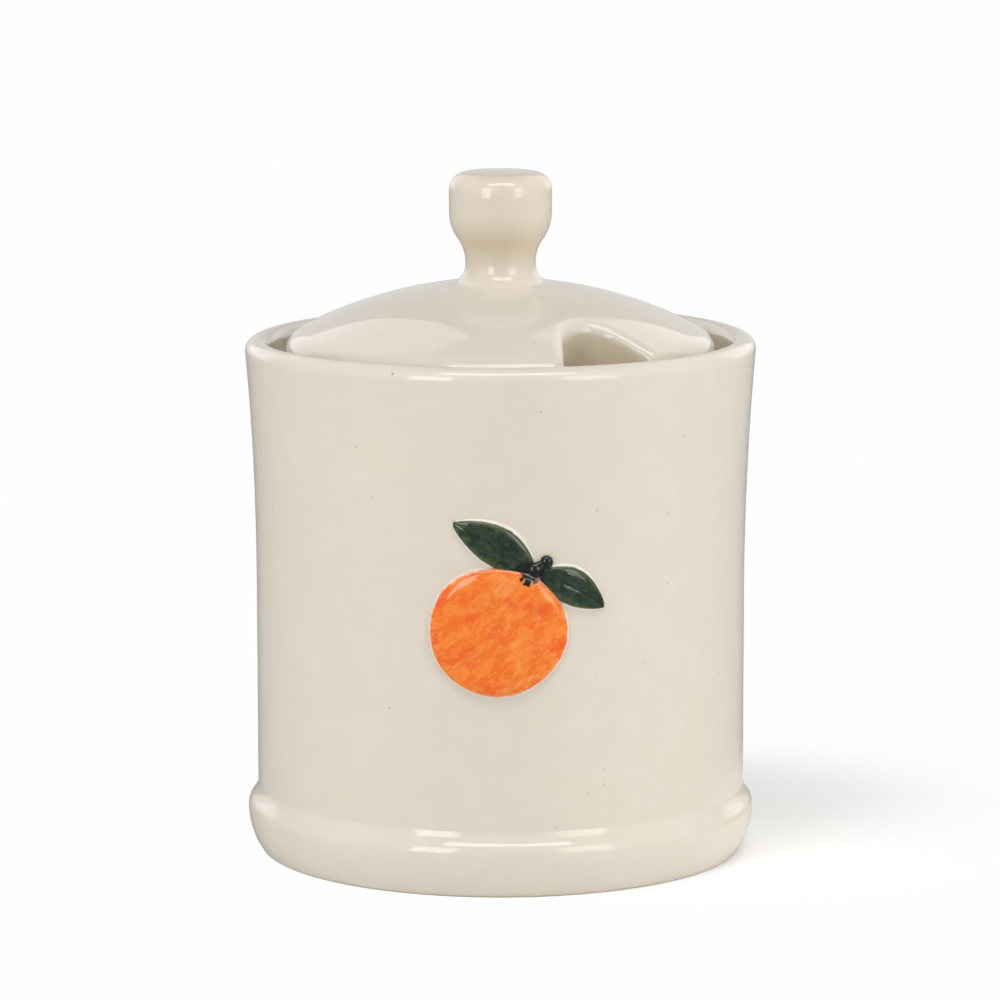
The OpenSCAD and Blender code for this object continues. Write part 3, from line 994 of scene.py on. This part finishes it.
floor_half = 6
floor_white = 0.98
floor_bounce = 0.95
floor_lift = 0.14
floor_mirrored = 0.3
shadow_middle = (0.038, 0.022, 0)
shadow_full, shadow_end = 0.026, 0.072

backdrop_y = 1.5
backdrop_half_w, backdrop_half_h = 2, 0.8
backdrop_low = 0.75
backdrop_from, backdrop_to = 0.1, 1.5

lamp_aim = Vector((0, 0, 0.06))

camera_place = (-0.00008, -0.900, 0.2055)
camera_dip = 0.161
camera_lens = 194.2


def grey(value):
    """Plain grey of a value."""
    return (value, value, value)


def paper(name):
    """Material of the studio, its tree, empty but for an output, and the socket that its shader fills."""
    made = bpy.data.materials.new(name)
    made.use_nodes = True
    tree = made.node_tree
    tree.nodes.clear()
    return made, tree, add(tree, "ShaderNodeOutputMaterial").inputs[0]


def staged(name, mesh, material):
    """Piece of the studio from a mesh in metres."""
    data = bpy.data.meshes.new(name)
    mesh.to_mesh(data)
    mesh.free()
    data.materials.append(material)
    piece = bpy.data.objects.new(name, data)
    bpy.context.scene.collection.objects.link(piece)


def floor_paper():
    """Pale paper that keeps the shadow near the pot and runs out to plain white."""
    made, tree, result = paper("floor_paper")
    rays = add(tree, "ShaderNodeLightPath").outputs
    matt = add(tree, "ShaderNodeBsdfDiffuse")
    shade = blended(tree, rays["Is Camera Ray"], grey(floor_bounce), grey(floor_white))
    tree.links.new(shade, matt.inputs["Color"])
    lift = add(tree, "ShaderNodeEmission")
    tree.links.new(times(tree, rays["Is Camera Ray"], floor_lift), lift.inputs["Strength"])
    near = add(tree, "ShaderNodeAddShader")
    fill(tree, near.inputs, (matt.outputs[0], lift.outputs[0]))
    glow = add(tree, "ShaderNodeEmission", inputs={"Color": (*grey(paper_white), 1)})
    tree.links.new(mixed(tree, rays["Is Glossy Ray"], 1, floor_mirrored), glow.inputs["Strength"])
    plain = between(tree, distance_to(tree, here_in(tree), shadow_middle), shadow_full, shadow_end)
    seen = worked(tree, "MAXIMUM", rays["Is Camera Ray"], rays["Is Glossy Ray"])
    both = add(tree, "ShaderNodeMixShader")
    fill(tree, both.inputs, (times(tree, seen, plain), near.outputs[0], glow.outputs[0]))
    tree.links.new(both.outputs[0], result)
    return made


def floor():
    """Floor that the pot stands on."""
    mesh = bmesh.new()
    bmesh.ops.create_grid(mesh, x_segments=1, y_segments=1, size=floor_half)
    staged("floor", mesh, floor_paper())


def backdrop_paper():
    """Paper that is plain white to the camera and brightest low down where the glaze mirrors it."""
    made, tree, result = paper("backdrop_paper")
    rays = add(tree, "ShaderNodeLightPath").outputs
    height = height_in(tree, here_in(tree))
    mirrored = between(tree, height, backdrop_from, backdrop_to, backdrop_low, gloss_surround)
    shade = mixed(tree, rays["Is Glossy Ray"], ambient, mirrored)
    glow = add(tree, "ShaderNodeEmission")
    tree.links.new(mixed(tree, rays["Is Camera Ray"], shade, paper_white), glow.inputs["Strength"])
    tree.links.new(glow.outputs[0], result)
    return made


def backdrop():
    """Upright card behind the pot, which the glaze mirrors at its far edges."""
    mesh = bmesh.new()
    bmesh.ops.create_grid(mesh, x_segments=1, y_segments=1, size=1)
    bmesh.ops.rotate(mesh, verts=mesh.verts, matrix=Matrix.Rotation(math.radians(90), 3, "X"))
    bmesh.ops.scale(mesh, vec=(backdrop_half_w, 1, backdrop_half_h), verts=mesh.verts)
    bmesh.ops.translate(mesh, vec=(0, backdrop_y, backdrop_half_h), verts=mesh.verts)
    staged("backdrop", mesh, backdrop_paper())


def surroundings():
    """World: soft light all round, white where the camera looks past the floor."""
    world = bpy.data.worlds.new("studio")
    world.use_nodes = True
    bpy.context.scene.world = world
    tree = world.node_tree
    rays = add(tree, "ShaderNodeLightPath").outputs
    shade = blended(tree, rays["Is Glossy Ray"], grey(ambient), grey(gloss_surround))
    shade = blended(tree, rays["Is Camera Ray"], shade, grey(paper_white))
    tree.links.new(shade, tree.nodes["Background"].inputs["Color"])


def lamp(name, turn, rise, distance, width, depth, power, mirrored=True, lights=True):
    """Soft rectangular lamp facing the pot: turn from the front towards +X, rise above level, in degrees.
    A lamp that isn't mirrored only lights, and one that doesn't light is only mirrored in the glaze."""
    data = bpy.data.lights.new(name, "AREA")
    data.shape = "RECTANGLE"
    data.size, data.size_y = width, depth
    data.energy = power
    piece = bpy.data.objects.new(name, data)
    a, b = math.radians(turn), math.radians(rise)
    way = Vector((math.sin(a) * math.cos(b), -math.cos(a) * math.cos(b), math.sin(b)))
    piece.location = lamp_aim + way * distance
    piece.rotation_euler = way.to_track_quat("Z", "Y").to_euler()
    piece.visible_glossy = mirrored
    piece.visible_diffuse = lights
    piece.visible_camera = False
    bpy.context.scene.collection.objects.link(piece)


def camera():
    """Camera where the photograph was taken from: a little above the pot, through a long lens."""
    data = bpy.data.cameras.new("camera")
    data.lens = camera_lens
    data.sensor_width = 36
    data.clip_end = 50
    piece = bpy.data.objects.new("camera", data)
    piece.location = camera_place
    piece.rotation_euler = (math.pi / 2 - camera_dip, 0, 0)
    bpy.context.scene.collection.objects.link(piece)
    bpy.context.scene.camera = piece


floor()
backdrop()
surroundings()

# Two boxes and a strip light the pot and show in its glaze
lamp("left_box", turn=-31, rise=16, distance=0.9, width=0.30, depth=0.58, power=1.9)
lamp("right_box", turn=40, rise=16, distance=0.9, width=0.36, depth=0.58, power=1.5)
lamp("top_strip", turn=5, rise=62, distance=0.9, width=0.75, depth=0.25, power=2.5)

# Cards behind the pot show in its glaze alone
lamp("left_card", turn=-145, rise=32, distance=1.2, width=0.75, depth=1.2, power=1.9, lights=False)
lamp("right_card", turn=145, rise=32, distance=1.2, width=0.75, depth=1.2, power=1.9, lights=False)

# Panels that only light it
lamp("soft_key", turn=-58, rise=54, distance=1.2, width=0.6, depth=0.6, power=1.5, mirrored=False)
lamp("left_panel", turn=-97, rise=10, distance=0.9, width=0.5, depth=0.5, power=2.5, mirrored=False)
lamp("right_panel", turn=95, rise=5, distance=0.9, width=0.5, depth=0.5, power=4.7, mirrored=False)
lamp("overhead", turn=5, rise=74, distance=1.2, width=0.8, depth=0.8, power=2.4, mirrored=False)
lamp("back_panel", turn=180, rise=8, distance=1.2, width=0.9, depth=0.4, power=2.8, mirrored=False)

camera()

bpy.context.scene.view_settings.view_transform = "Standard"
